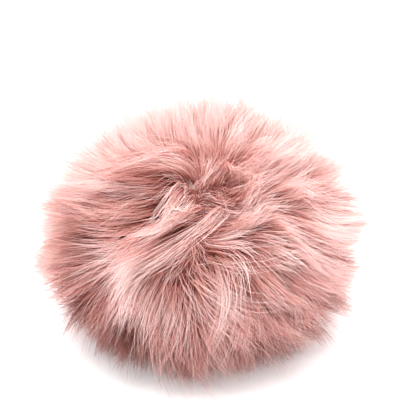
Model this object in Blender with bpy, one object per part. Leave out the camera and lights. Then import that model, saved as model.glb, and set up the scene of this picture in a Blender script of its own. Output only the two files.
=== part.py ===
# A faux-fur pom pom that rests on its own fur, with a press stud sewn to its base.
# Metres, +Z up. The origin is on the floor under the middle of the ball, and the front faces -Y.
import math

import bmesh
import bpy
from mathutils import Euler, Vector, noise

MM = 0.001
DOWN = Vector((0, 0, -1))
# Clearance between neighbouring pieces.
GAP = 0.3 * MM

# The fur ball over its longest locks.
FUR_WIDTH = 120 * MM
FUR_DEPTH = 117 * MM
FUR_HEIGHT = 82 * MM
CENTRE_HEIGHT = 40 * MM
# How far the pile would hang below the centre if no floor held it up.
HANG_BELOW = 63 * MM

# The ball of drawn-up backing cloth that the locks grow from. It is flat where the stud is sewn on.
BACKING_WIDTH = 68 * MM
BACKING_DEPTH = 66 * MM
BACKING_TOP = 25 * MM
BACKING_BOTTOM = 24 * MM
SEAT_HEIGHT = 17 * MM
SEAT_ANGLE = math.radians(23)

# Locks stand on the cells of a cube that is blown up to a ball, this many along each of its edges.
CELLS_PER_EDGE = 7
CUBE_TILT = Euler((math.radians(24), math.radians(17), math.radians(33)))
# The corners of the cells are shifted by smooth noise, in radians and in ripples a radian.
CELL_SHIFT = 0.085
CELL_SHIFT_RIPPLES = 9.7

# One lock from root to tip: height as a share of the pile's depth, width as a share of its cell.
LOCK_STATIONS = (
    # height, width
    (0.00, 0.84),
    (0.26, 0.89),
    (0.54, 0.87),
    (0.82, 0.68),
)
SHORTEST_LOCK = 0.9
# Each lock's length moves on from the last one's by this share of the range.
LENGTH_STEP = 0.618
# A lock that would end this near to the floor is made to rest on it with a blunt, level tip.
TOUCHES_FLOOR = 1.2 * MM
FLOOR_TIP_WIDTH = 0.45

# How far a tip lies along the lie of the pile, in radians round the ball, and how late the lock bends.
LIE_OF_PILE = 0.45
LIE_BEND = 1.25
LIE_STEPS = 6
# The pile falls away from the crown and meets the pile of the underside where this share is level.
# Azimuth 0 is the right side and -90 the front; azimuths and elevations are in degrees.
CROWN_AZIMUTH = -97
CROWN_ELEVATION = 62
MEETING_LEVEL = 0.45
CROWN_SWIRL = 0.15
# Places where the pile also parts: push is away from the place and turn is round it.
WHORLS = (
    # azimuth, elevation, spread, push, turn
    (-94, 26, 30, 0.80, 0.10),
    (-150, 25, 28, 0.10, 0.35),
    (-30, 30, 28, 0.20, -0.55),
    (65, 35, 34, 0.45, 0.35),
    (140, 20, 34, 0.35, -0.40),
    (5, -5, 30, 0.20, 0.40),
    (-60, -25, 24, -0.20, 0.30),
)

# Lumps and hollows of the outline. Rise is in millimetres.
LUMPS = (
    # azimuth, elevation, spread, rise
    (180, -38, 24, -4.0),
    (-10, -36, 26, 3.0),
    (-160, 8, 18, 1.5),
    (25, 28, 20, 2.0),
    (-95, -22, 24, 1.0),
    (-60, 38, 18, -1.5),
    (125, 48, 26, -3.0),
    (60, 50, 20, 1.5),
    (75, -15, 26, -2.0),
)

# The press stud. Its angles and drawings are as seen from below, with the front at the top.
PLATE_RADIUS = 7.5 * MM
PLATE_THICKNESS = 0.9 * MM
PLATE_EDGE = 0.25 * MM
PLATE_SEGMENTS = 48
BOSS_RADIUS = 3.3 * MM
BOSS_HEIGHT = 0.12 * MM
SLOT_COUNT = 4
SLOT_DISTANCE = 5.5 * MM
SLOT_LENGTH = 2.5 * MM
SLOT_WIDTH = 1.6 * MM
SLOT_END_STEPS = 6
FIRST_SLOT_ANGLE = math.radians(75)
NECK_HOLE_RADIUS = 1.75 * MM
NECK_RADIUS = 1.4 * MM
BALL_RADIUS = 2.4 * MM
BALL_DROP = 2.5 * MM
BALL_SEGMENTS = 24
BALL_STEPS = 9
# The rivet head lies between the seat and the plate, clear of both.
HEAD_RADIUS = 2.3 * MM
HEAD_THICKNESS = 0.5 * MM
PLATE_TOP = SEAT_HEIGHT - HEAD_THICKNESS - 2 * GAP

# The turned and gathered edge of the cloth round the plate.
EDGE_RADIUS = 8.55 * MM
EDGE_THICKNESS = 0.65 * MM
EDGE_GATHERS = 26
EDGE_GATHER_DEPTH = 0.14 * MM
EDGE_STEPS_PER_GATHER = 4
EDGE_SIDES = 5

# The spring wires beside the ball, in shares of the plate's radius.
WIRE_RADIUS = 0.22 * MM
WIRE_STEPS = 5
WIRE_LEFT = (
    # right, up
    (-0.57, 0.42),
    (-0.60, 0.10),
    (-0.60, -0.16),
    (-0.56, -0.31),
    (-0.49, -0.35),
    (-0.43, -0.28),
    (-0.41, -0.18),
)
WIRE_RIGHT = (
    # right, up
    (0.44, 0.42),
    (0.37, 0.05),
    (0.29, -0.34),
    (0.30, -0.52),
    (0.38, -0.54),
    (0.46, -0.38),
    (0.55, -0.12),
    (0.66, 0.09),
    (0.84, 0.22),
)


def clear_scene():
    for item in list(bpy.data.objects):
        bpy.data.objects.remove(item, do_unlink=True)


def make_material(name, colour, roughness, metallic=0.0):
    material = bpy.data.materials.new(name)
    material.use_nodes = True
    shader = material.node_tree.nodes["Principled BSDF"]
    shader.inputs["Base Color"].default_value = (*colour, 1.0)
    shader.inputs["Roughness"].default_value = roughness
    shader.inputs["Metallic"].default_value = metallic
    return material


def add_object(name, data, material, parent=None):
    data.materials.append(material)
    item = bpy.data.objects.new(name, data)
    item.parent = parent
    bpy.context.scene.collection.objects.link(item)
    return item


def mesh_from(name, shape, smooth_angle=None):
    bmesh.ops.recalc_face_normals(shape, faces=shape.faces)
    mesh = bpy.data.meshes.new(name)
    shape.to_mesh(mesh)
    shape.free()
    if smooth_angle is not None:
        mesh.shade_smooth()
        mesh.set_sharp_from_angle(angle=smooth_angle)
    return mesh


def bridge(shape, ring, after):
    """Joins two rings of points with four-sided faces."""
    for side, start in enumerate(ring):
        following = (side + 1) % len(ring)
        shape.faces.new((start, ring[following], after[following], after[side]))


def direction(azimuth, elevation):
    level = math.cos(math.radians(elevation))
    return Vector((
        level * math.cos(math.radians(azimuth)),
        level * math.sin(math.radians(azimuth)),
        math.sin(math.radians(elevation)),
    ))


def nearness(ray, place, spread):
    """1 at the place, falling smoothly to 0 a few spreads away."""
    return math.exp(-((ray.angle(place) / math.radians(spread)) ** 2))


def lie_of_pile(ray):
    """The way the pile is combed at this ray from the centre, as a vector along the ball."""
    crown = direction(CROWN_AZIMUTH, CROWN_ELEVATION)
    away = ray * ray.dot(crown) - crown
    lie = away * (ray.dot(crown) + MEETING_LEVEL) + crown.cross(ray) * CROWN_SWIRL
    for azimuth, elevation, spread, push, turn in WHORLS:
        place = direction(azimuth, elevation)
        near = nearness(ray, place, spread)
        lie += (ray * ray.dot(place) - place) * push * near
        lie += place.cross(ray) * turn * near
    return lie


def combed(ray, amount):
    """The ray carried this far along the lie of the pile."""
    step = amount / LIE_STEPS
    for _ in range(LIE_STEPS):
        half_way = (ray + lie_of_pile(ray) * (step / 2)).normalized()
        ray = (ray + lie_of_pile(half_way) * step).normalized()
    return ray


def oval_reach(ray, width, depth, top, bottom):
    """Distance from the centre to an oval ball whose upper and lower halves differ in height."""
    height = top if ray.z > 0 else bottom
    across = (ray.x / (width / 2)) ** 2 + (ray.y / (depth / 2)) ** 2
    return 1 / math.sqrt(across + (ray.z / height) ** 2)


def pile_reach(ray):
    """Distance from the centre to the tips of the pile, which stop at the floor."""
    reach = oval_reach(ray, FUR_WIDTH, FUR_DEPTH, FUR_HEIGHT - CENTRE_HEIGHT, HANG_BELOW)
    for azimuth, elevation, spread, rise in LUMPS:
        reach += rise * MM * nearness(ray, direction(azimuth, elevation), spread)
    if ray.z < 0:
        reach = min(reach, CENTRE_HEIGHT / -ray.z)
    return reach


def pile_point(ray, height):
    """A point of the pile above this ray's root: height 0 is on the backing and 1 at the tips."""
    ray = combed(ray, LIE_OF_PILE * height ** LIE_BEND)
    inner = oval_reach(ray, BACKING_WIDTH, BACKING_DEPTH, BACKING_TOP, BACKING_BOTTOM)
    outer = pile_reach(ray)
    return Vector((0, 0, CENTRE_HEIGHT)) + ray * (inner + (outer - inner) * height)


def blown_up_cube():
    """A cube cut into cells and rounded to a ball of rays, its cells alike in size but uneven."""
    ball = bmesh.new()
    bmesh.ops.create_cube(ball, size=2)
    bmesh.ops.subdivide_edges(ball, edges=ball.edges, cuts=CELLS_PER_EDGE - 1, use_grid_fill=True)
    for corner in ball.verts:
        ray = Vector([math.tan(part * math.pi / 4) for part in corner.co]).normalized()
        ray.rotate(CUBE_TILT)
        shift = noise.noise_vector(ray * CELL_SHIFT_RIPPLES) * CELL_SHIFT
        corner.co = (ray + shift).normalized()
    return ball


def in_seat(ray):
    return ray.angle(DOWN) < SEAT_ANGLE


def lock_ring(ball, corners, width, height):
    """The points where a lock's corners, drawn in to this width, pass this height."""
    middle = sum(corners, Vector()) / len(corners)
    rays = [(middle + (corner - middle) * width).normalized() for corner in corners]
    return [ball.verts.new(pile_point(ray, height)) for ray in rays]


def add_lock(ball, cell, number):
    """Replaces one cell by a four-sided lock that grows out of it and tapers to its tip."""
    corners = [corner.co.copy() for corner in cell.verts]
    middle = sum(corners, Vector()).normalized()
    on_floor = pile_point(middle, 1).z < TOUCHES_FLOOR
    length = 1 if on_floor else SHORTEST_LOCK + (1 - SHORTEST_LOCK) * (number * LENGTH_STEP % 1)
    ring = list(cell.verts)
    ball.faces.remove(cell)
    for height, width in LOCK_STATIONS:
        after = lock_ring(ball, corners, width, height * length)
        bridge(ball, ring, after)
        ring = after
    if on_floor:
        level_tip = lock_ring(ball, corners, FLOOR_TIP_WIDTH, 1)
        for corner in level_tip:
            corner.co.z = 0
        bridge(ball, ring, level_tip)
        ball.faces.new(level_tip)
        return
    tip = ball.verts.new(pile_point(middle, length))
    for side, corner in enumerate(ring):
        ball.faces.new((corner, ring[(side + 1) % len(ring)], tip))


def fit_to_size(ball):
    """Stretches each side of the ball on its own, so that its longest lock ends at the named size."""
    limits = (
        # axis, side, reach
        (0, 1, FUR_WIDTH / 2),
        (0, -1, FUR_WIDTH / 2),
        (1, 1, FUR_DEPTH / 2),
        (1, -1, FUR_DEPTH / 2),
        (2, 1, FUR_HEIGHT),
    )
    for axis, side, reach in limits:
        stretch = reach / max(corner.co[axis] * side for corner in ball.verts)
        for corner in ball.verts:
            if corner.co[axis] * side > 0:
                corner.co[axis] *= stretch


def make_fur_ball(material):
    """One solid: the backing and every lock that grows out of it."""
    ball = blown_up_cube()
    roots = list(ball.verts)
    cells = [cell for cell in ball.faces if not any(in_seat(corner.co) for corner in cell.verts)]
    for number, cell in enumerate(cells):
        add_lock(ball, cell, number)
    for root in roots:
        seated = in_seat(root.co)
        root.co = pile_point(root.co, 0)
        root.co.z = SEAT_HEIGHT if seated else max(root.co.z, SEAT_HEIGHT)
    fit_to_size(ball)
    add_object("fur_ball", mesh_from("fur_ball", ball), material)


def turned(profile, segments):
    """A closed outline of (radius, height) points turned round the Z axis."""
    shape = bmesh.new()
    outline = [shape.verts.new((radius, 0, height)) for radius, height in profile]
    edges = [shape.edges.new((point, outline[i - 1])) for i, point in enumerate(outline)]
    bmesh.ops.spin(
        shape, geom=outline + edges, axis=(0, 0, 1), cent=(0, 0, 0), steps=segments, angle=math.tau
    )
    bmesh.ops.remove_doubles(shape, verts=shape.verts, dist=MM / 1000)
    return shape


def slot_cutter(name, material, parent):
    """A prism with the oblong outline of one sewing slot, long enough to pass through the plate."""
    shape = bmesh.new()
    bend = SLOT_WIDTH / 2
    straight = SLOT_LENGTH / 2 - bend
    outline = []
    for end in (1, -1):
        for step in range(SLOT_END_STEPS + 1):
            turn = math.pi * (step / SLOT_END_STEPS - end / 2)
            outline.append((end * straight + bend * math.cos(turn), bend * math.sin(turn)))
    face = shape.faces.new([shape.verts.new((x, y, -2 * PLATE_THICKNESS)) for x, y in outline])
    grown = bmesh.ops.extrude_face_region(shape, geom=[face])
    far_end = [part for part in grown["geom"] if isinstance(part, bmesh.types.BMVert)]
    bmesh.ops.translate(shape, verts=far_end, vec=(0, 0, 3 * PLATE_THICKNESS))
    cutter = add_object(name, mesh_from(name, shape), material, parent)
    cutter.hide_render = True
    cutter.display_type = "WIRE"
    return cutter


def make_plate(material, stud):
    """A disc with a rolled edge, a low raised middle, four slots and a hole for the ball's neck."""
    face = -PLATE_THICKNESS
    profile = (
        # radius, height
        (NECK_HOLE_RADIUS, 0),
        (PLATE_RADIUS - PLATE_EDGE, 0),
        (PLATE_RADIUS, -PLATE_EDGE),
        (PLATE_RADIUS, face - PLATE_EDGE / 2),
        (PLATE_RADIUS - PLATE_EDGE, face - PLATE_EDGE),
        (PLATE_RADIUS - 2 * PLATE_EDGE, face),
        (BOSS_RADIUS, face),
        (BOSS_RADIUS - BOSS_HEIGHT, face - BOSS_HEIGHT),
        (NECK_HOLE_RADIUS, face - BOSS_HEIGHT),
    )
    mesh = mesh_from("stud_plate", turned(profile, PLATE_SEGMENTS), math.radians(30))
    plate = add_object("stud_plate", mesh, material, stud)
    for number in range(SLOT_COUNT):
        angle = FIRST_SLOT_ANGLE + number * math.tau / SLOT_COUNT
        cutter = slot_cutter(f"slot_cutter_{number}", material, stud)
        cutter.location = (SLOT_DISTANCE * math.cos(angle), -SLOT_DISTANCE * math.sin(angle), 0)
        cutter.rotation_euler.z = math.pi / 2 - angle
        cut = plate.modifiers.new(cutter.name, "BOOLEAN")
        cut.object = cutter


def make_ball(material, stud):
    """The ball on its neck, which passes through the plate to a flat rivet head above it."""
    centre = -PLATE_THICKNESS - BALL_DROP
    neck_angle = math.asin(NECK_RADIUS / BALL_RADIUS)
    profile = [
        # radius, height
        (0, GAP + HEAD_THICKNESS),
        (HEAD_RADIUS, GAP + HEAD_THICKNESS),
        (HEAD_RADIUS, GAP),
        (NECK_RADIUS, GAP),
    ]
    for step in range(BALL_STEPS + 1):
        angle = neck_angle + (math.pi - neck_angle) * step / BALL_STEPS
        profile.append((BALL_RADIUS * math.sin(angle), centre + BALL_RADIUS * math.cos(angle)))
    mesh = mesh_from("stud_ball", turned(profile, BALL_SEGMENTS), math.radians(40))
    add_object("stud_ball", mesh, material, stud)


def make_gathered_edge(material, stud):
    """The cloth's turned edge, sewn down round the plate in small even gathers."""
    shape = bmesh.new()
    rings = []
    steps = EDGE_GATHERS * EDGE_STEPS_PER_GATHER
    for step in range(steps):
        angle = math.tau * step / steps
        thickness = EDGE_THICKNESS + EDGE_GATHER_DEPTH * math.cos(EDGE_GATHERS * angle)
        ring = []
        for side in range(EDGE_SIDES):
            turn = math.tau * (side + 0.5) / EDGE_SIDES
            radius = EDGE_RADIUS + thickness * math.cos(turn)
            height = thickness * math.sin(turn) - PLATE_THICKNESS / 2
            ring.append(shape.verts.new((radius * math.cos(angle), radius * math.sin(angle), height)))
        rings.append(ring)
    for step, ring in enumerate(rings):
        bridge(shape, rings[step - 1], ring)
    add_object("gathered_edge", mesh_from("gathered_edge", shape, math.radians(60)), material, stud)


def smooth_path(points):
    """Points along a soft curve through the given ones."""
    path = []
    for i, (start, end) in enumerate(zip(points, points[1:])):
        before = points[max(i - 1, 0)]
        after = points[min(i + 2, len(points) - 1)]
        for step in range(WIRE_STEPS):
            t = step / WIRE_STEPS
            path.append(
                start * (2 * t ** 3 - 3 * t ** 2 + 1)
                + (end - before) / 2 * (t ** 3 - 2 * t ** 2 + t)
                + end * (3 * t ** 2 - 2 * t ** 3)
                + (after - start) / 2 * (t ** 3 - t ** 2)
            )
    path.append(points[-1])
    return path


def make_wire(name, points, material, stud):
    """A bent round wire that lies just below the plate's raised middle."""
    curve = bpy.data.curves.new(name, "CURVE")
    curve.dimensions = "3D"
    curve.bevel_depth = WIRE_RADIUS
    curve.bevel_resolution = 1
    curve.use_fill_caps = True
    path = smooth_path([Vector(point) * PLATE_RADIUS for point in points])
    line = curve.splines.new("POLY")
    line.points.add(len(path) - 1)
    for place, (right, up) in zip(line.points, path):
        place.co = (right, -up, 0, 1)
    wire = add_object(name, curve, material, stud)
    wire.location.z = -PLATE_THICKNESS - BOSS_HEIGHT - GAP - WIRE_RADIUS


def main():
    clear_scene()
    fur = make_material("dusty pink fur", (0.62, 0.33, 0.30), 0.85)
    cloth = make_material("pale pink cloth edge", (0.80, 0.62, 0.55), 0.9)
    dark_metal = make_material("blackened metal plate", (0.11, 0.10, 0.07), 0.35, metallic=1.0)
    brass = make_material("bright brass ball", (0.75, 0.62, 0.28), 0.25, metallic=1.0)
    dark_wire = make_material("dark spring wire", (0.06, 0.05, 0.04), 0.4, metallic=1.0)

    stud = bpy.data.objects.new("press_stud", None)
    stud.location.z = PLATE_TOP
    bpy.context.scene.collection.objects.link(stud)

    make_fur_ball(fur)
    make_gathered_edge(cloth, stud)
    make_plate(dark_metal, stud)
    make_ball(brass, stud)
    make_wire("spring_wire_left", WIRE_LEFT, dark_wire, stud)
    make_wire("spring_wire_right", WIRE_RIGHT, dark_wire, stud)


main()
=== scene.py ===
import math

import bmesh
import bpy
import numpy as np
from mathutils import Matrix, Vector


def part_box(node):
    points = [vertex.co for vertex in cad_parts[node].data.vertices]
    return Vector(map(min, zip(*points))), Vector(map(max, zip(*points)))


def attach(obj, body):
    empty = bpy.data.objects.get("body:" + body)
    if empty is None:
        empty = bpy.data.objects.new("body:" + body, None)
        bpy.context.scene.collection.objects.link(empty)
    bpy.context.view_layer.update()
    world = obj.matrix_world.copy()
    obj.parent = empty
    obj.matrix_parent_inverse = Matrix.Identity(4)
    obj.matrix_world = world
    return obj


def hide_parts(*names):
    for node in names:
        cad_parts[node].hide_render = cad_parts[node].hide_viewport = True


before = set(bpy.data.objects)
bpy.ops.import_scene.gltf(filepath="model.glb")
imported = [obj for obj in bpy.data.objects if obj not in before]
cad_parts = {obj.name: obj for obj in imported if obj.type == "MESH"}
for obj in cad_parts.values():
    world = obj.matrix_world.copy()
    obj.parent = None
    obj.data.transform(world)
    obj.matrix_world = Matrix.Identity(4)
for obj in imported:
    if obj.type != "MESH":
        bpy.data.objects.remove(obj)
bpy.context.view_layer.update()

millimetre = 0.001


def srgb(code):
    # the linear values of an sRGB hex colour
    parts = [int(code[i:i + 2], 16) / 255 for i in (1, 3, 5)]
    return (*[p / 12.92 if p <= 0.04045 else ((p + 0.055) / 1.055) ** 2.4 for p in parts], 1)


def addNode(tree, kind, links=None, stops=(), **settings):
    # links gives an input, by name or number, a value, an output, or a node for its first output;
    # stops gives a colour ramp its places and colours
    node = tree.nodes.new(kind)
    for name, value in settings.items():
        setattr(node, name, value)
    for key, value in (links or {}).items():
        if isinstance(value, bpy.types.Node):
            value = value.outputs[0]
        if isinstance(value, bpy.types.NodeSocket):
            tree.links.new(value, node.inputs[key])
        else:
            node.inputs[key].default_value = value
    if stops:
        ramp = node.color_ramp.elements
        while len(ramp) < len(stops):
            ramp.new(0.5)
        for element, (place, colour) in zip(ramp, stops):
            element.position = place
            element.color = srgb(colour)
    return node


def newMaterial(name):
    material = bpy.data.materials.new(name)
    material.use_nodes = True
    material.node_tree.nodes.clear()
    return material, material.node_tree


def addPiece(name, mesh, material, replaced):
    mesh.materials.clear()
    mesh.materials.append(material)
    piece = bpy.data.objects.new(name, mesh)
    bpy.context.scene.collection.objects.link(piece)
    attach(piece, "root")
    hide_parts(*replaced)
    return piece


# the camera stands in front and looks down at the pom pom
cameraView = {
    "elevation": 32.0,                      # degrees
    "distance": 0.60,                       # metres
    "lens": 148.0,
    "aim": (0.0008, 0.0047, 0.0476),        # metres
}
tilt = math.radians(cameraView["elevation"])
camera = bpy.data.objects.new("camera", bpy.data.cameras.new("camera"))
bpy.context.scene.collection.objects.link(camera)
towardsCamera = Vector((0, -math.cos(tilt), math.sin(tilt)))
camera.location = Vector(cameraView["aim"]) + towardsCamera * cameraView["distance"]
camera.rotation_euler = (math.pi / 2 - tilt, 0, 0)
camera.data.lens = cameraView["lens"]
bpy.context.scene.camera = camera

# a white studio: pale floor, white all round, one wide soft light above and a little behind
studio = {
    "roomColour": "#ffffff",
    "roomLight": 1.60,
    "floorColour": "#fcfbfb",
    "floorRoughness": 0.9,
    "floorReach": 6.0,                      # metres from the middle to an edge
    "lightsAim": (0, 0, 0.04),
    "lights": (
        # name, place in metres, size in metres, watts
        ("overheadLight", (-0.03, 0.20, 0.80), 1.1, 18.0),
        ("frontLight", (-0.45, -0.75, 0.50), 0.7, 1.8),
    ),
}
world = bpy.data.worlds.new("whiteRoom")
world.use_nodes = True
room = world.node_tree.nodes["Background"].inputs
room["Color"].default_value = srgb(studio["roomColour"])
room["Strength"].default_value = studio["roomLight"]
bpy.context.scene.world = world
bpy.context.scene.view_settings.view_transform = "Standard"
for name, place, size, watts in studio["lights"]:
    light = bpy.data.objects.new(name, bpy.data.lights.new(name, "AREA"))
    light.data.size = size
    light.data.energy = watts
    light.location = place
    ray = Vector(studio["lightsAim"]) - light.location
    light.rotation_euler = ray.to_track_quat("-Z", "Y").to_euler()
    bpy.context.scene.collection.objects.link(light)

# matt paper: an even, pale floor with no gloss
floorMaterial, tree = newMaterial("mattePaper")
paper = addNode(tree, "ShaderNodeBsdfPrincipled", {
    "Base Color": srgb(studio["floorColour"]), "Roughness": studio["floorRoughness"],
})
# clear from below, so that the underside can be looked at
fromBelow = addNode(tree, "ShaderNodeNewGeometry").outputs["Backfacing"]
clear = addNode(tree, "ShaderNodeBsdfTransparent")
oneSided = addNode(tree, "ShaderNodeMixShader", {0: fromBelow, 1: paper, 2: clear})
addNode(tree, "ShaderNodeOutputMaterial", {"Surface": oneSided})
build = bmesh.new()
bmesh.ops.create_grid(build, x_segments=1, y_segments=1, size=studio["floorReach"])
mesh = bpy.data.meshes.new("floor")
build.to_mesh(mesh)
build.free()
mesh.materials.append(floorMaterial)
floor = bpy.data.objects.new("floor", mesh)
bpy.context.scene.collection.objects.link(floor)
print("studio and camera ready")

# how the pile lies over the ball, in millimetres and degrees unless a note says otherwise;
# azimuth 0 is the right side and -90 the front;
# the backing, the outline and the main swirls are those of the solid ball
pile = {
    "skinSteps": 6,                         # how often the skin's triangles are split
    "centreHeight": 40.0,
    "hangBelow": 63.0,                      # how far the pile would hang with no floor under it
    "backing": (68.0, 66.0, 25.0, 24.0),    # width, depth, above and below the centre
    "seatHeight": 17.0,                     # the flat where the stud is sewn on
    "seatAngle": 23.0,
    "hairsFade": 3.0,                       # past the seat, over which the hairs grow dense
    # past the seat, from where and over how much the hidden roots of hairs are left out
    "hiddenRoots": (8.0, 25.0),
    "lie": 0.30,                            # radians that a tip is combed round the ball
    "lieBend": 1.25,                        # power of the height: how late a hair bends over
    "lieSteps": 6,
    "crown": (-103, 54),                    # azimuth and elevation from which the pile falls away
    "meetingLevel": 0.45,                   # where the crown's pile and the underside's meet, as a share
    "crownPush": 0.35,                      # how strongly it is combed away from the crown
    "crownSwirl": 0.15,                     # and round it
    "combs": (
        # azimuth, elevation, spread, to the right, upwards, away from the middle
        (-113, 72, 14, -0.1, -0.4, 0.0),
        (-55, 70, 13, -0.2, 0.3, 0.0),
        (-145, 56, 14, -0.1, -1.2, 0.0),
        (-144, 22, 16, -0.8, -0.1, 0.0),
        (-121, 40, 11, -0.4, -0.4, 0.0),
        (-108, 43, 11, 0.2, -1.2, 0.0),
        (-68, 44, 11, -0.1, -0.3, 0.0),
        (-54, 36, 12, 0.0, 0.7, 0.0),
        (-58, 23, 12, 0.4, 0.1, 0.0),
        (-36, 23, 16, -0.7, -0.5, 0.0),
        (-105, 13, 11, -0.9, -0.3, 0.0),
        (-74, 13, 11, 0.3, -0.2, 0.0),
        (-90, 33, 8, -0.3, -0.3, 0.0),
        (-98, 28, 8, -0.8, -0.4, 0.0),
        (-106, 19, 8, -0.9, -0.3, 0.0),
        (-91, 20, 8, 0.8, 0.5, 0.0),
        (-80, 22, 8, 0.8, 0.5, 0.0),
        (-70, 23, 9, 0.6, 0.5, 0.0),
        (-90, 7, 10, 0.0, -0.6, 0.0),
        (-76, 10, 9, 0.2, -0.6, 0.0),
        (-102, 8, 9, -0.3, -0.6, 0.0),
        (-90, -12, 26, 0.0, -0.7, 0.0),
        (65, 35, 34, 0.2, 0.4, 0.5),
        (140, 20, 34, -0.4, 0.2, 0.4),
        (100, -10, 30, 0.3, -0.5, 0.3),
    ),
    "lumps": (
        # azimuth, elevation, spread, rise
        (180, -38, 24, -4.0),
        (-10, -36, 26, 3.0),
        (-160, 8, 18, 1.5),
        (25, 28, 20, 2.0),
        (-95, -22, 24, 1.0),
        (-60, 38, 18, -1.5),
        (125, 48, 26, -3.0),
        (60, 50, 20, 1.5),
        (75, -15, 26, -2.0),
        (156, 42, 24, 2.0),
        (38, 42, 22, 1.5),
        (-128, -36, 22, -3.5),
        (-48, -38, 22, -3.5),
        (-90, -44, 22, -3.2),
        (90, 62, 28, 2.0),
    ),
    "tufts": 560,                           # broad tufts that lean together
    "tuftNudge": 0.35,                      # how unevenly they stand
    "tuftLean": 0.075,                      # radians, typical
    "ruffled": (-72, 38, 20, 0.5),          # azimuth, elevation, spread, how much more the tufts lean there
    "tuftGather": 0.22,                     # share of the way that tips are drawn to their tuft's middle
    "tuftLength": 0.04,                     # share that a tuft is longer or shorter, typical
    # the longest that a hair may be, as a share, where it is loose and where it rests on the floor;
    # it is loose above the first of these elevations and rests below the second
    "longest": (1.27, 1.0, -16, -32),
    "lengths": (
        # azimuth, elevation, spread, share longer or shorter
        (-170, -4, 24, 0.17),
        (-14, 8, 26, 0.18),
        (90, 64, 30, 0.25),
        (150, 52, 20, 0.08),
        (30, 52, 20, 0.08),
        (-132, -34, 24, 0.12),
        (-48, -34, 24, 0.12),
        (-90, -40, 26, 0.03),
        (-112, 25, 10, 0.12),
        (-76, 24, 13, 0.02),
        (-91, 6, 11, -0.08),
    ),
    "toneRange": (-0.40, 0.95),             # darkest and palest tuft, before the places below
    # painted light and shade: tufts in these places are made darker where shade falls, in the hollows, under
    # the fold and on the underside, and paler where light falls, on the backlit rim and the lit tips
    "paintedShadeAndLight": (
        # azimuth, elevation, spread, darker or paler
        (-140, 62, 13, -1.0),
        (-93, 34, 11, -1.8),
        (-108, 57, 7, -0.1),
        (-122, 64, 9, -0.6),
        (-101, 47, 9, 2.3),
        (-110, 9, 6, -0.8),
        (-128, 13, 8, -0.8),
        (-83, 11, 9, -1.4),
        (-71, 28, 10, 1.5),
        (-103, 52, 9, 0.9),
        (-148, 22, 16, -0.6),
        (-125, 32, 10, -1.4),
        (-93, 18, 11, 2.7),
        (-165, 48, 20, 1.2),
        (90, 56, 42, 3.2),
        (0, 25, 28, 0.9),
        (-178, 12, 26, 2.0),
        (-113, 23, 11, 2.6),
        (-118, 4, 13, 0.9),
        (-127, -16, 12, -2.5),
        (-130, -34, 26, -3.0),
        (-50, -38, 24, -1.5),
        (-38, 8, 22, 0.7),
        (-90, -36, 26, -0.8),
    ),
    "seed": 11,
}
furLow, furHigh = [np.array(corner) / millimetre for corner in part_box("fur_ball")]


def unit(rays):
    return rays / np.linalg.norm(rays, axis=-1, keepdims=True)


def towards(azimuth, elevation):
    a, e = math.radians(azimuth), math.radians(elevation)
    return np.array((math.cos(e) * math.cos(a), math.cos(e) * math.sin(a), math.sin(e)))


def nearness(rays, azimuth, elevation, width):
    # 1 at the place, falling away smoothly over the width
    angle = np.arccos(np.clip(rays @ towards(azimuth, elevation), -1, 1))
    return np.exp(-((angle / math.radians(width)) ** 2))[:, None]


def lieOfPile(rays):
    crown = towards(*pile["crown"])
    level = (rays @ crown)[:, None]
    lie = (rays * level - crown) * (level + pile["meetingLevel"]) * pile["crownPush"]
    lie += np.cross(crown, rays) * pile["crownSwirl"]
    for azimuth, elevation, width, right, up, away in pile["combs"]:
        place = towards(azimuth, elevation)
        near = nearness(rays, azimuth, elevation, width)
        east = unit(np.cross((0, 0, 1), place))
        comb = east * right + np.cross(place, east) * up
        lie += (comb - rays * (rays @ comb)[:, None]) * near
        lie += (rays * (rays @ place)[:, None] - place) * away * near
    return lie


def combed(rays, amount):
    # each ray is led along the lie of the pile in small steps
    step = amount / pile["lieSteps"]
    for _ in range(pile["lieSteps"]):
        halfWay = unit(rays + lieOfPile(rays) * step / 2)
        rays = unit(rays + lieOfPile(halfWay) * step)
    return rays


def ovalReach(rays, width, depth, top, bottom):
    height = np.where(rays[:, 2] > 0, top, bottom)
    across = (rays[:, 0] / (width / 2)) ** 2 + (rays[:, 1] / (depth / 2)) ** 2
    return 1 / np.sqrt(across + (rays[:, 2] / height) ** 2)


def pileReach(rays):
    width, depth, height = furHigh - furLow
    reach = ovalReach(rays, width, depth, height - pile["centreHeight"], pile["hangBelow"])
    for azimuth, elevation, width, rise in pile["lumps"]:
        reach += rise * nearness(rays, azimuth, elevation, width)[:, 0]
    onFloor = pile["centreHeight"] / np.maximum(-rays[:, 2], 1e-6)
    return np.minimum(reach, onFloor)


def pilePoints(rays, height):
    rays = combed(rays, pile["lie"] * height ** pile["lieBend"])
    inner = ovalReach(rays, *pile["backing"])
    reach = inner + (pileReach(rays) - inner) * height
    return rays * reach[:, None] + (0, 0, pile["centreHeight"])


def spreadOverBall(count, rng):
    # directions spread evenly over a ball, each nudged a little
    number = np.arange(count) + 0.5
    polar, turn = np.arccos(1 - 2 * number / count), number * math.pi * (1 + math.sqrt(5))
    rays = np.stack((np.cos(turn) * np.sin(polar), np.sin(turn) * np.sin(polar), np.cos(polar)), 1)
    return unit(rays + rng.normal(0, pile["tuftNudge"], rays.shape) / math.sqrt(count))


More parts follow.
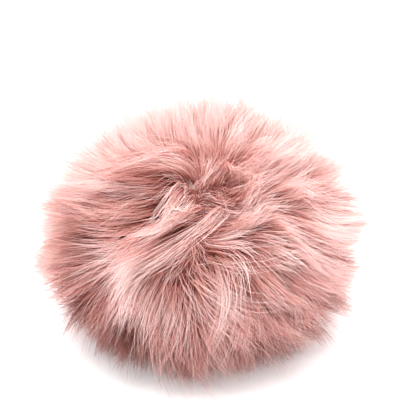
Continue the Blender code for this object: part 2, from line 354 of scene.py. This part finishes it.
def makeSkin():
    # the backing as a net of roots: each corner holds the curve that a hair from there follows,
    # root + a t + b t2 + c t3, with t from 0 at the root to 1 at the tip
    build = bmesh.new()
    bmesh.ops.create_icosphere(build, subdivisions=pile["skinSteps"], radius=1)
    mesh = bpy.data.meshes.new("skin")
    build.to_mesh(mesh)
    build.free()
    rays = np.empty(len(mesh.vertices) * 3)
    mesh.vertices.foreach_get("co", rays)
    rays = unit(rays.reshape(-1, 3))

    rng = np.random.default_rng(pile["seed"])
    tufts = spreadOverBall(pile["tufts"], rng)
    *place, more = pile["ruffled"]
    lean = rng.normal(0, pile["tuftLean"], tufts.shape) * (1 + more * nearness(tufts, *place))
    length = 1 + rng.normal(0, pile["tuftLength"], len(tufts))
    for *place, more in pile["lengths"]:
        length += more * nearness(tufts, *place)[:, 0]
    tone = rng.uniform(*pile["toneRange"], len(tufts))
    # painted light and shade: each tuft's random tone is made darker or paler in the listed places
    for *place, shift in pile["paintedShadeAndLight"]:
        tone += shift * nearness(tufts, *place)[:, 0]
    mine = np.array([np.argmax(tufts @ ray) for ray in rays])
    middle, lean = tufts[mine], lean[mine]

    root = pilePoints(rays, 0.0)
    grown = []
    for t in (1 / 3, 2 / 3, 1.0):
        gathered = rays + (middle - rays) * pile["tuftGather"] * t ** 2 + lean * t ** 2
        grown.append(pilePoints(unit(gathered), t) - root)
    # the cubic that passes through the root and these three points
    third, twoThirds, tip = grown
    a = 9 * third - 4.5 * twoThirds + tip
    b = -22.5 * third + 18 * twoThirds - 4.5 * tip
    c = 13.5 * third - 13.5 * twoThirds + 4.5 * tip

    seat = rays[:, 2] < -math.cos(math.radians(pile["seatAngle"]))
    root[seat, 2] = pile["seatHeight"]
    root[:, 2] = np.maximum(root[:, 2], pile["seatHeight"])
    fromBottom = np.degrees(np.arccos(np.clip(-rays[:, 2], -1, 1)))
    pastSeat = fromBottom - pile["seatAngle"]
    hiddenFrom, hiddenOver = pile["hiddenRoots"]
    loose, resting, high, low = pile["longest"]

    mesh.vertices.foreach_set("co", (root * millimetre).ravel())
    values = {
        "pathA": a * millimetre, "pathB": b * millimetre, "pathC": c * millimetre,
        "hairs": np.clip(pastSeat / pile["hairsFade"], 0, 1),
        "buried": np.clip((pastSeat - hiddenFrom) / hiddenOver, 0, 1),
        "longest": np.interp(fromBottom - 90, (low, high), (resting, loose)),
        "tuftLength": length[mine], "tuftToneAndPaintedLight": tone[mine],
    }
    for name, value in values.items():
        kind, field = ("FLOAT_VECTOR", "vector") if value.ndim == 2 else ("FLOAT", "value")
        layer = mesh.attributes.new(name, kind, "POINT")
        layer.data.foreach_set(field, np.ascontiguousarray(value, dtype=np.float32).ravel())
    skin = bpy.data.objects.new("skin", mesh)
    bpy.context.scene.collection.objects.link(skin)
    print("skin", len(rays), "corners,", len(tufts), "tufts")
    return skin


# each coat of fur grows its own hairs from the skin, all gathered into the same locks
locksOfHair = {
    "perSquareMetre": 330000.0,
    "lean": 2.3,                            # millimetres that a lock's tip leans its own way
    "lengthSpread": 0.10,
    "seed": 5,
}
hair = {
    "points": 4,                            # along it
    "sides": 3,
    "gatherLate": 1.8,                      # power of the height: how late a hair joins its lock
    "taperLate": 1.6,
    "taper": 0.82,                          # share of its thickness that is gone at the tip
    "ownTone": 0.5,                         # share of its tone that is its own and not its lock's
    "tuftToneAndPaintedLight": 0.4,                        # share that is then its tuft's
    "floorGap": 0.2,                        # millimetres
    "seeds": {"lockLength": 77, "lockTone": 78, "length": 79, "tone": 80, "curl": 81},
}
# fibres are drawn 0.12 to 0.44 mm thick at the root, several times the real ones,
# so that a few stand for many
# painted light: the paler column lightens the outermost coats for the pale glow of the backlit rim
coats = {
    # hairs to a square metre, first and last height, length spread, gather,
    # stray, curl and radius in millimetres, paler, seed
    "under_coat": (820000.0, 0.0, 0.72, 0.10, 0.35, 1.5, 1.5, 0.22, 0.0, 1),
    "pile_coat_1": (820000.0, 0.35, 0.89, 0.14, 0.44, 1.1, 2.0, 0.13, 0.0, 2),
    "pile_coat_2": (820000.0, 0.38, 0.95, 0.15, 0.42, 1.1, 2.5, 0.115, 0.0, 3),
    "pile_coat_3": (820000.0, 0.42, 1.01, 0.17, 0.34, 1.7, 3.0, 0.085, 0.1, 4),
    "long_hairs": (820000.0, 0.50, 1.10, 0.18, 0.25, 2.4, 3.5, 0.06, 0.30, 5),
}
# where on the fibre's own map its tone (across) and its height (along) are kept
furMap = {
    "toneFrom": 0.02,
    "toneOver": 0.94,
    "sideStep": 0.006,                      # keeps the three sides of a fibre apart
    "heightOver": 0.98,
}


def coatTree():
    tree = bpy.data.node_groups.new("coatOfFur", "GeometryNodeTree")
    tree.is_modifier = True
    for kind, names in (
        ("NodeSocketGeometry", ("Skin",)),
        ("NodeSocketFloat", (
            "Hairs", "First Height", "Last Height", "Length Spread", "Gather", "Stray", "Curl", "Radius",
            "Paler", "Locks", "Lock Lean", "Lock Length Spread",
        )),
        ("NodeSocketInt", ("Seed", "Lock Seed")),
        ("NodeSocketMaterial", ("Fur",)),
    ):
        for name in names:
            tree.interface.new_socket(name, in_out="INPUT", socket_type=kind)
    tree.interface.new_socket("Coat", in_out="OUTPUT", socket_type="NodeSocketGeometry")
    given = addNode(tree, "NodeGroupInput").outputs

    # what the skin's corners hold, and what is kept on each hair below
    kept = {}
    for kind, names in (
        ("FLOAT_VECTOR", (
            "pathA", "pathB", "pathC", "hairRoot", "hairA", "hairB", "hairC",
            "lockRoot", "lockA", "lockB", "lockC", "stray", "curl",
        )),
        ("FLOAT", (
            "hairs", "buried", "longest", "tuftLength", "tuftToneAndPaintedLight", "lockLength", "lockTone",
            "firstHeight", "lastHeight", "tone", "height", "side",
        )),
    ):
        for name in names:
            kept[name] = addNode(
                tree, "GeometryNodeInputNamedAttribute", {"Name": name}, data_type=kind).outputs[0]

    def along(root, a, b, c, t):
        path = c
        for term in (b, a, root):
            path = addNode(tree, "ShaderNodeVectorMath", {0: path, 1: t, 2: term}, operation="MULTIPLY_ADD")
        return path

    place = addNode(tree, "GeometryNodeInputPosition")
    density = addNode(tree, "ShaderNodeMath", {0: given["Hairs"], 1: kept["hairs"]}, operation="MULTIPLY")
    hairs = addNode(tree, "GeometryNodeDistributePointsOnFaces", {
        "Mesh": given["Skin"], "Density": density, "Seed": given["Seed"],
    }, distribute_method="RANDOM")
    locks = addNode(tree, "GeometryNodeDistributePointsOnFaces", {
        "Mesh": given["Skin"], "Density": given["Locks"], "Seed": given["Lock Seed"],
    }, distribute_method="RANDOM")

    # every hair joins the lock whose root is nearest
    nearest = addNode(tree, "GeometryNodeSampleNearest", {"Geometry": locks}, domain="POINT")
    lockLean = addNode(tree, "FunctionNodeRandomValue", {
        0: (-1, -1, -1), 1: (1, 1, 1), "Seed": given["Lock Seed"],
    }, data_type="FLOAT_VECTOR")
    lockLean = addNode(
        tree, "ShaderNodeVectorMath", {0: lockLean, "Scale": given["Lock Lean"]}, operation="SCALE")
    lockB = addNode(tree, "ShaderNodeVectorMath", {0: kept["pathB"], 1: lockLean}, operation="ADD")
    lockLength = addNode(tree, "FunctionNodeRandomValue", {
        2: -1.0, 3: 1.0, "Seed": hair["seeds"]["lockLength"],
    }, data_type="FLOAT").outputs[1]
    lockLength = addNode(tree, "ShaderNodeMath", {
        0: lockLength, 1: given["Lock Length Spread"], 2: kept["tuftLength"],
    }, operation="MULTIPLY_ADD")
    lockTone = addNode(tree, "FunctionNodeRandomValue", {
        2: 0.0, 3: 1.0, "Seed": hair["seeds"]["lockTone"],
    }, data_type="FLOAT").outputs[1]

    points = hairs
    carried = {
        # what a hair takes from the skin under it, then what it takes from its lock and of what kind
        "hairRoot": (place, None),
        "hairA": (kept["pathA"], None),
        "hairB": (kept["pathB"], None),
        "hairC": (kept["pathC"], None),
        "lockRoot": (place, "FLOAT_VECTOR"),
        "lockA": (kept["pathA"], "FLOAT_VECTOR"),
        "lockB": (lockB, "FLOAT_VECTOR"),
        "lockC": (kept["pathC"], "FLOAT_VECTOR"),
        "lockLength": (lockLength, "FLOAT"),
        "lockTone": (lockTone, "FLOAT"),
    }
    for name, (value, sampled) in carried.items():
        if sampled:
            value = addNode(tree, "GeometryNodeSampleIndex", {
                "Geometry": locks, "Value": value, "Index": nearest,
            }, data_type=sampled, domain="POINT")
        points = addNode(tree, "GeometryNodeStoreNamedAttribute", {
            "Geometry": points, "Name": name, "Value": value,
        }, data_type=sampled or "FLOAT_VECTOR", domain="POINT")

    # what is random in each hair: where it strays, how it curls, how long it is, its tone
    stray = addNode(tree, "FunctionNodeRandomValue", {
        0: (-1, -1, -1), 1: (1, 1, 1), "Seed": given["Seed"],
    }, data_type="FLOAT_VECTOR")
    stray = addNode(tree, "ShaderNodeVectorMath", {0: stray, "Scale": given["Stray"]}, operation="SCALE")
    curl = addNode(tree, "FunctionNodeRandomValue", {
        0: (-1, -1, -1), 1: (1, 1, 1), "Seed": hair["seeds"]["curl"],
    }, data_type="FLOAT_VECTOR")
    curl = addNode(tree, "ShaderNodeVectorMath", {0: curl, "Scale": given["Curl"]}, operation="SCALE")
    length = addNode(tree, "FunctionNodeRandomValue", {
        2: -1.0, 3: 1.0, "Seed": hair["seeds"]["length"],
    }, data_type="FLOAT").outputs[1]
    length = addNode(tree, "ShaderNodeMath", {
        0: length, 1: given["Length Spread"], 2: kept["lockLength"],
    }, operation="MULTIPLY_ADD")
    lastHeight = addNode(tree, "ShaderNodeMath", {0: length, 1: given["Last Height"]}, operation="MULTIPLY")
    lastHeight = addNode(tree, "ShaderNodeMath", {0: lastHeight, 1: kept["longest"]}, operation="MINIMUM")
    firstHeight = addNode(
        tree, "ShaderNodeMath", {0: given["First Height"], 1: kept["buried"]}, operation="MULTIPLY")
    ownTone = addNode(tree, "FunctionNodeRandomValue", {
        2: 0.0, 3: 1.0, "Seed": hair["seeds"]["tone"],
    }, data_type="FLOAT").outputs[1]
    tone = addNode(tree, "ShaderNodeMix", {
        "Factor": hair["ownTone"], 2: kept["lockTone"], 3: ownTone,
    }, data_type="FLOAT")
    # the tuft's share brings in its painted light and shade: darker in shaded places, paler on the lit rim
    tone = addNode(tree, "ShaderNodeMix", {
        "Factor": hair["tuftToneAndPaintedLight"], 2: tone, 3: kept["tuftToneAndPaintedLight"],
    }, data_type="FLOAT")
    tone = addNode(tree, "ShaderNodeMath", {0: tone, 1: given["Paler"]}, operation="ADD", use_clamp=True)
    for name, value, kind in (
        ("stray", stray, "FLOAT_VECTOR"),
        ("curl", curl, "FLOAT_VECTOR"),
        ("firstHeight", firstHeight, "FLOAT"),
        ("lastHeight", lastHeight, "FLOAT"),
        ("tone", tone, "FLOAT"),
    ):
        points = addNode(tree, "GeometryNodeStoreNamedAttribute", {
            "Geometry": points, "Name": name, "Value": value,
        }, data_type=kind, domain="POINT")

    # one plain line for each hair, bent into place
    line = addNode(tree, "GeometryNodeCurvePrimitiveLine", {"Start": (0, 0, 0), "End": (0, 0, millimetre)})
    line = addNode(tree, "GeometryNodeResampleCurve", {"Curve": line, "Count": hair["points"]})
    lines = addNode(tree, "GeometryNodeInstanceOnPoints", {"Points": points, "Instance": line})
    lines = addNode(tree, "GeometryNodeRealizeInstances", {"Geometry": lines})
    share = addNode(tree, "GeometryNodeSplineParameter").outputs["Factor"]
    t = addNode(tree, "ShaderNodeMix", {
        "Factor": share, 2: kept["firstHeight"], 3: kept["lastHeight"],
    }, data_type="FLOAT")
    own = along(kept["hairRoot"], kept["hairA"], kept["hairB"], kept["hairC"], t)
    lock = along(kept["lockRoot"], kept["lockA"], kept["lockB"], kept["lockC"], t)
    gather = addNode(tree, "ShaderNodeMath", {0: t, 1: hair["gatherLate"]}, operation="POWER")
    gather = addNode(
        tree, "ShaderNodeMath", {0: gather, 1: given["Gather"]}, operation="MULTIPLY", use_clamp=True)
    path = addNode(tree, "ShaderNodeMix", {"Factor": gather, 4: own, 5: lock}, data_type="VECTOR").outputs[1]
    squared = addNode(tree, "ShaderNodeMath", {0: t, 1: t}, operation="MULTIPLY")
    path = addNode(
        tree, "ShaderNodeVectorMath", {0: kept["stray"], 1: squared, 2: path}, operation="MULTIPLY_ADD")
    # the curl is widest two thirds of the way up and nothing at the root and the tip
    left = addNode(tree, "ShaderNodeMath", {0: 1.0, 1: t}, operation="SUBTRACT")
    bow = addNode(tree, "ShaderNodeMath", {0: squared, 1: left}, operation="MULTIPLY")
    path = addNode(tree, "ShaderNodeVectorMath", {0: kept["curl"], 1: bow, 2: path}, operation="MULTIPLY_ADD")
    # nothing goes through the floor; the limit to the sides, a metre away, holds nothing back
    path = addNode(tree, "ShaderNodeVectorMath", {
        0: path, 1: (-1.0, -1.0, hair["floorGap"] * millimetre),
    }, operation="MAXIMUM")
    lines = addNode(tree, "GeometryNodeSetPosition", {"Geometry": lines, "Position": path})
    # painted shade: a hair that ends inside the coat keeps the darker colour of the shaded depth of the pile,
    # and only the outermost tips are palest
    outermost = addNode(tree, "ShaderNodeMath", {0: kept["lastHeight"], 1: 1.0}, operation="MAXIMUM")
    height = addNode(tree, "ShaderNodeMath", {0: t, 1: outermost}, operation="DIVIDE")
    lines = addNode(tree, "GeometryNodeStoreNamedAttribute", {
        "Geometry": lines, "Name": "height", "Value": height,
    }, data_type="FLOAT", domain="POINT")

    # thick at the root and fine at the tip, as a three-sided fibre
    taper = addNode(tree, "ShaderNodeMath", {0: share, 1: hair["taperLate"]}, operation="POWER")
    taper = addNode(tree, "ShaderNodeMath", {0: taper, 1: -hair["taper"], 2: 1.0}, operation="MULTIPLY_ADD")
    radius = addNode(tree, "ShaderNodeMath", {0: taper, 1: given["Radius"]}, operation="MULTIPLY")
    profile = addNode(tree, "GeometryNodeCurvePrimitiveCircle", {"Resolution": hair["sides"], "Radius": 1.0})
    profile = addNode(tree, "GeometryNodeStoreNamedAttribute", {
        "Geometry": profile, "Name": "side", "Value": addNode(tree, "GeometryNodeInputIndex"),
    }, data_type="FLOAT", domain="POINT")
    fibres = addNode(tree, "GeometryNodeCurveToMesh", {
        "Curve": lines, "Profile Curve": profile, "Scale": radius, "Fill Caps": True,
    })
    # the fibre's own map: its tone across and its height along, for the fur's colour
    across = addNode(tree, "ShaderNodeMath", {
        0: kept["tone"], 1: furMap["toneOver"], 2: furMap["toneFrom"],
    }, operation="MULTIPLY_ADD")
    across = addNode(
        tree, "ShaderNodeMath", {0: kept["side"], 1: furMap["sideStep"], 2: across}, operation="MULTIPLY_ADD")
    upwards = addNode(tree, "ShaderNodeMath", {
        0: kept["height"], 1: furMap["heightOver"],
    }, operation="MULTIPLY", use_clamp=True)
    pair = addNode(tree, "ShaderNodeCombineXYZ", {0: across, 1: upwards})
    fibres = addNode(tree, "GeometryNodeStoreNamedAttribute", {
        "Geometry": fibres, "Name": "OFBake", "Value": pair,
    }, data_type="FLOAT2", domain="CORNER")
    for name in (*carried, "stray", "curl", "firstHeight", "lastHeight", "tone", "side", "height"):
        fibres = addNode(tree, "GeometryNodeRemoveAttribute", {"Geometry": fibres, "Name": name})
    fibres = addNode(tree, "GeometryNodeSetShadeSmooth", {"Geometry": fibres, "Shade Smooth": True})
    fibres = addNode(tree, "GeometryNodeRealizeInstances", {"Geometry": fibres})
    fibres = addNode(tree, "GeometryNodeSetMaterial", {"Geometry": fibres, "Material": given["Fur"]})
    addNode(tree, "NodeGroupOutput", {"Coat": fibres})
    return tree


furLook = {
    # from the root to the tip, each darker towards the root as painted shade deep in the pile: hair in a
    # shaded hollow (all painted shade), in a darker lock and in a paler one
    "shade": ((0.10, "#86473b"), (0.45, "#9b5b4f"), (0.70, "#ae7167"), (1.0, "#c4938d")),
    "dark": ((0.10, "#d48d7f"), (0.45, "#dd988b"), (0.65, "#e4a99e"), (0.85, "#ecbdb5"), (1.0, "#f4d2cd")),
    "pale": ((0.10, "#e8ada2"), (0.45, "#f5cec6"), (0.65, "#fceae6"), (0.85, "#fdf1ef"), (1.0, "#fceceb")),
    "outOfShade": (0.0, 0.25),              # tones between which a hair comes out of the shade
    "paleness": (0.2, 0.95),                # tones between which a hair turns from dark to pale
    "lightThrough": 0.60,
    "roughness": 0.6,
    "refraction": 1.48,
    "gloss": 0.12,
    "sheen": 0.12,
    "sheenRoughness": 0.4,
    "sheenColour": "#f5b9ad",
}


def furMaterial():
    # modacrylic pile: a soft matt plastic fibre with a faint gloss, its colour dark and warm at the dense
    # root as painted shade deep in the pile, and paler towards the fine tip
    material, tree = newMaterial("modacrylicPile")
    fibre = addNode(tree, "ShaderNodeUVMap", uv_map="OFBake")
    tone, height = addNode(tree, "ShaderNodeSeparateXYZ", {0: fibre}).outputs[:2]
    shade, dark, pale = [
        addNode(tree, "ShaderNodeValToRGB", {0: height}, furLook[name]) for name in ("shade", "dark", "pale")
    ]
    low, high = furLook["outOfShade"]
    outOfShade = addNode(tree, "ShaderNodeMapRange", {0: tone, 1: low, 2: high})
    low, high = furLook["paleness"]
    paleness = addNode(tree, "ShaderNodeMapRange", {0: tone, 1: low, 2: high})
    lit = addNode(tree, "ShaderNodeMix", {"Factor": paleness, 6: dark, 7: pale}, data_type="RGBA").outputs[2]
    colour = addNode(tree, "ShaderNodeMix", {
        "Factor": outOfShade, 6: shade, 7: lit,
    }, data_type="RGBA").outputs[2]
    surface = addNode(tree, "ShaderNodeBsdfPrincipled", {
        "Base Color": colour,
        "Roughness": furLook["roughness"],
        "IOR": furLook["refraction"],
        "Specular IOR Level": furLook["gloss"],
        "Sheen Weight": furLook["sheen"],
        "Sheen Roughness": furLook["sheenRoughness"],
        "Sheen Tint": srgb(furLook["sheenColour"]),
    })
    # light passes through the fine fibres, so the rim glows against the white room
    through = addNode(tree, "ShaderNodeBsdfTranslucent", {"Color": colour})
    both = addNode(tree, "ShaderNodeMixShader", {0: furLook["lightThrough"], 1: surface, 2: through})
    addNode(tree, "ShaderNodeOutputMaterial", {"Surface": both})
    return material


def bandScale(spacing):
    # a wave texture's bands come every tenth of pi, divided by its scale
    return math.pi / 10 / (spacing * millimetre)


# the drawn-up cloth under the pile and its gathered edge round the stud
cloth = {
    "hidden": ((0.2, "#8f5148"), (0.8, "#b97a70")),     # under the pile, in its shade
    "seat": ((0.2, "#c9ada2"), (0.8, "#ead9cf")),       # at the stud, where no pile grows
    "seatRadius": 13.0,                     # millimetres
    "ribSpacing": 0.7854,                   # millimetres from one rib of loops to the next
    "ribWaver": 1.5,
    "blotch": 1.1111,                       # millimetres
    "blotches": 0.5,                        # share of the pattern that is blotches and not ribs
    "bump": 0.4,
    "bumpDepth": 0.2,                       # millimetres
    "roughness": 0.85,
    "sheen": 0.3,
}


def clothMaterial(name, seatRadius=None):
    # warp-knitted polyester backing: matt, with fine ribs of loops
    material, tree = newMaterial(name)
    place = addNode(tree, "ShaderNodeTexCoord").outputs["Object"]
    ribs = addNode(tree, "ShaderNodeTexWave", {
        "Vector": place, "Scale": bandScale(cloth["ribSpacing"]), "Distortion": cloth["ribWaver"],
    }, wave_type="BANDS", bands_direction="X").outputs[1]
    blotches = addNode(tree, "ShaderNodeTexNoise", {
        "Vector": place, "Scale": 1 / (cloth["blotch"] * millimetre), "Detail": 4.0,
    })
    shade = addNode(
        tree, "ShaderNodeMix", {"Factor": cloth["blotches"], 2: ribs, 3: blotches}, data_type="FLOAT")
    colour = addNode(tree, "ShaderNodeValToRGB", {0: shade}, cloth["seat"])
    if seatRadius:
        # past the seat the cloth lies in the shade of the pile
        hidden = addNode(tree, "ShaderNodeValToRGB", {0: shade}, cloth["hidden"])
        flat = addNode(tree, "ShaderNodeVectorMath", {0: place, 1: (1.0, 1.0, 0.0)}, operation="MULTIPLY")
        reach = addNode(tree, "ShaderNodeVectorMath", {0: flat}, operation="LENGTH").outputs["Value"]
        past = addNode(
            tree, "ShaderNodeMath", {0: reach, 1: seatRadius * millimetre}, operation="GREATER_THAN")
        colour = addNode(
            tree, "ShaderNodeMix", {"Factor": past, 6: colour, 7: hidden}, data_type="RGBA").outputs[2]
    bump = addNode(tree, "ShaderNodeBump", {
        "Height": shade, "Strength": cloth["bump"], "Distance": cloth["bumpDepth"] * millimetre,
    })
    surface = addNode(tree, "ShaderNodeBsdfPrincipled", {
        "Base Color": colour, "Normal": bump, "Roughness": cloth["roughness"], "Sheen Weight": cloth["sheen"],
    })
    addNode(tree, "ShaderNodeOutputMaterial", {"Surface": surface})
    return material


# the stud's plate
blackening = {
    "skin": ((0.3, "#1f1c17"), (0.7, "#3b3529")),
    "cloud": 3.846,                         # millimetres
    "roughness": (0.34, 0.5),
    "speck": 0.909,                         # millimetres
    "rubbedColour": "#8d7a45",
    "rubbed": (0.60, 0.72),                 # from where in the specks the brass shows, and shows most
    "mostRubbed": 0.8,
    "bump": 0.15,
    "bumpDepth": 0.05,                      # millimetres
}


def blackenedBrassMaterial():
    # brass dipped in a blackening bath: a dark satin skin, worn through to the metal in small spots
    material, tree = newMaterial("blackenedBrass")
    place = addNode(tree, "ShaderNodeTexCoord").outputs["Object"]
    clouds = addNode(tree, "ShaderNodeTexNoise", {
        "Vector": place, "Scale": 1 / (blackening["cloud"] * millimetre), "Detail": 3.0,
    })
    skin = addNode(tree, "ShaderNodeValToRGB", {0: clouds}, blackening["skin"])
    specks = addNode(tree, "ShaderNodeTexNoise", {
        "Vector": place, "Scale": 1 / (blackening["speck"] * millimetre), "Detail": 5.0, "Roughness": 0.6,
    })
    low, high = blackening["rubbed"]
    rubbed = addNode(
        tree, "ShaderNodeMapRange", {0: specks, 1: low, 2: high, 3: 0.0, 4: blackening["mostRubbed"]})
    colour = addNode(tree, "ShaderNodeMix", {
        "Factor": rubbed, 6: skin, 7: srgb(blackening["rubbedColour"]),
    }, data_type="RGBA").outputs[2]
    smooth, rough = blackening["roughness"]
    satin = addNode(tree, "ShaderNodeMapRange", {0: clouds, 3: smooth, 4: rough})
    bump = addNode(tree, "ShaderNodeBump", {
        "Height": specks, "Strength": blackening["bump"], "Distance": blackening["bumpDepth"] * millimetre,
    })
    surface = addNode(tree, "ShaderNodeBsdfPrincipled", {
        "Base Color": colour, "Roughness": satin, "Normal": bump, "Metallic": 1.0,
    })
    addNode(tree, "ShaderNodeOutputMaterial", {"Surface": surface})
    return material


# the stud's ball
brightBrass = {
    "colours": ((0.35, "#a8933f"), (0.65, "#d9c873")),
    "tarnish": 2.0,                         # millimetres
    "roughness": (0.30, 0.16),
    "ringSpacing": 0.10472,                 # millimetres
    "ringWaver": 0.5,
    "bump": 0.08,
    "bumpDepth": 0.02,                      # millimetres
}


def polishedBrassMaterial():
    # drawn and tumbled brass: bright and yellow, with a faint tarnish and fine rings from the forming
    material, tree = newMaterial("polishedBrass")
    place = addNode(tree, "ShaderNodeTexCoord").outputs["Object"]
    tarnish = addNode(tree, "ShaderNodeTexNoise", {
        "Vector": place, "Scale": 1 / (brightBrass["tarnish"] * millimetre), "Detail": 3.0,
    })
    colour = addNode(tree, "ShaderNodeValToRGB", {0: tarnish}, brightBrass["colours"])
    dull, bright = brightBrass["roughness"]
    satin = addNode(tree, "ShaderNodeMapRange", {0: tarnish, 3: dull, 4: bright})
    rings = addNode(tree, "ShaderNodeTexWave", {
        "Vector": place,
        "Scale": bandScale(brightBrass["ringSpacing"]),
        "Distortion": brightBrass["ringWaver"],
    }, wave_type="BANDS", bands_direction="Z").outputs[1]
    bump = addNode(tree, "ShaderNodeBump", {
        "Height": rings, "Strength": brightBrass["bump"], "Distance": brightBrass["bumpDepth"] * millimetre,
    })
    surface = addNode(tree, "ShaderNodeBsdfPrincipled", {
        "Base Color": colour, "Roughness": satin, "Normal": bump, "Metallic": 1.0,
    })
    addNode(tree, "ShaderNodeOutputMaterial", {"Surface": surface})
    return material


# the wires beside the ball
springSteel = {
    "colours": ((0.35, "#15130f"), (0.75, "#4a463f")),
    "mark": 0.4,                            # millimetres
    "roughness": 0.32,
}


def springWireMaterial():
    # blackened spring steel: dark and smooth, with paler drawing marks
    material, tree = newMaterial("springSteelWire")
    place = addNode(tree, "ShaderNodeTexCoord").outputs["Object"]
    marks = addNode(tree, "ShaderNodeTexNoise", {
        "Vector": place, "Scale": 1 / (springSteel["mark"] * millimetre), "Detail": 3.0,
    })
    colour = addNode(tree, "ShaderNodeValToRGB", {0: marks}, springSteel["colours"])
    surface = addNode(tree, "ShaderNodeBsdfPrincipled", {
        "Base Color": colour, "Metallic": 1.0, "Roughness": springSteel["roughness"],
    })
    addNode(tree, "ShaderNodeOutputMaterial", {"Surface": surface})
    return material


wire = springWireMaterial()
for name, material in (
    ("stud_plate", blackenedBrassMaterial()),
    ("stud_ball", polishedBrassMaterial()),
    ("spring_wire_left", wire),
    ("spring_wire_right", wire),
    ("gathered_edge", clothMaterial("gatheredCloth")),
):
    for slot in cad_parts[name].material_slots:
        slot.material = material
print("press stud and gathered edge finished")

skin = makeSkin()
# the drawn-up cloth that the pile grows from, flat under the stud
backingCloth = clothMaterial("knittedBacking", cloth["seatRadius"])
backing = addPiece("fur_backing", skin.data.copy(), backingCloth, ["fur_ball"])
backing.data.polygons.foreach_set("use_smooth", [True] * len(backing.data.polygons))
fur = furMaterial()
tree = coatTree()
sockets = {item.name: item.identifier for item in tree.interface.items_tree if item.item_type == "SOCKET"}
for name, (hairs, first, last, spread, gather, stray, curl, radius, paler, seed) in coats.items():
    modifier = skin.modifiers.new("coat", "NODES")
    modifier.node_group = tree
    values = {
        "Hairs": hairs,
        "First Height": first,
        "Last Height": last,
        "Length Spread": spread,
        "Gather": gather,
        "Stray": stray * millimetre,
        "Curl": curl * millimetre,
        "Radius": radius * millimetre,
        "Paler": paler,
        "Locks": locksOfHair["perSquareMetre"],
        "Lock Lean": locksOfHair["lean"] * millimetre,
        "Lock Length Spread": locksOfHair["lengthSpread"],
        "Seed": seed,
        "Lock Seed": locksOfHair["seed"],
        "Fur": fur,
    }
    for key, value in values.items():
        modifier[sockets[key]] = value
    graph = bpy.context.evaluated_depsgraph_get()
    mesh = bpy.data.meshes.new_from_object(skin.evaluated_get(graph), depsgraph=graph)
    skin.modifiers.remove(modifier)
    mesh.name = name
    addPiece(name, mesh, fur, ["fur_ball"])
    print(name, sum(len(face.vertices) - 2 for face in mesh.polygons), "triangles")
bpy.data.objects.remove(skin)
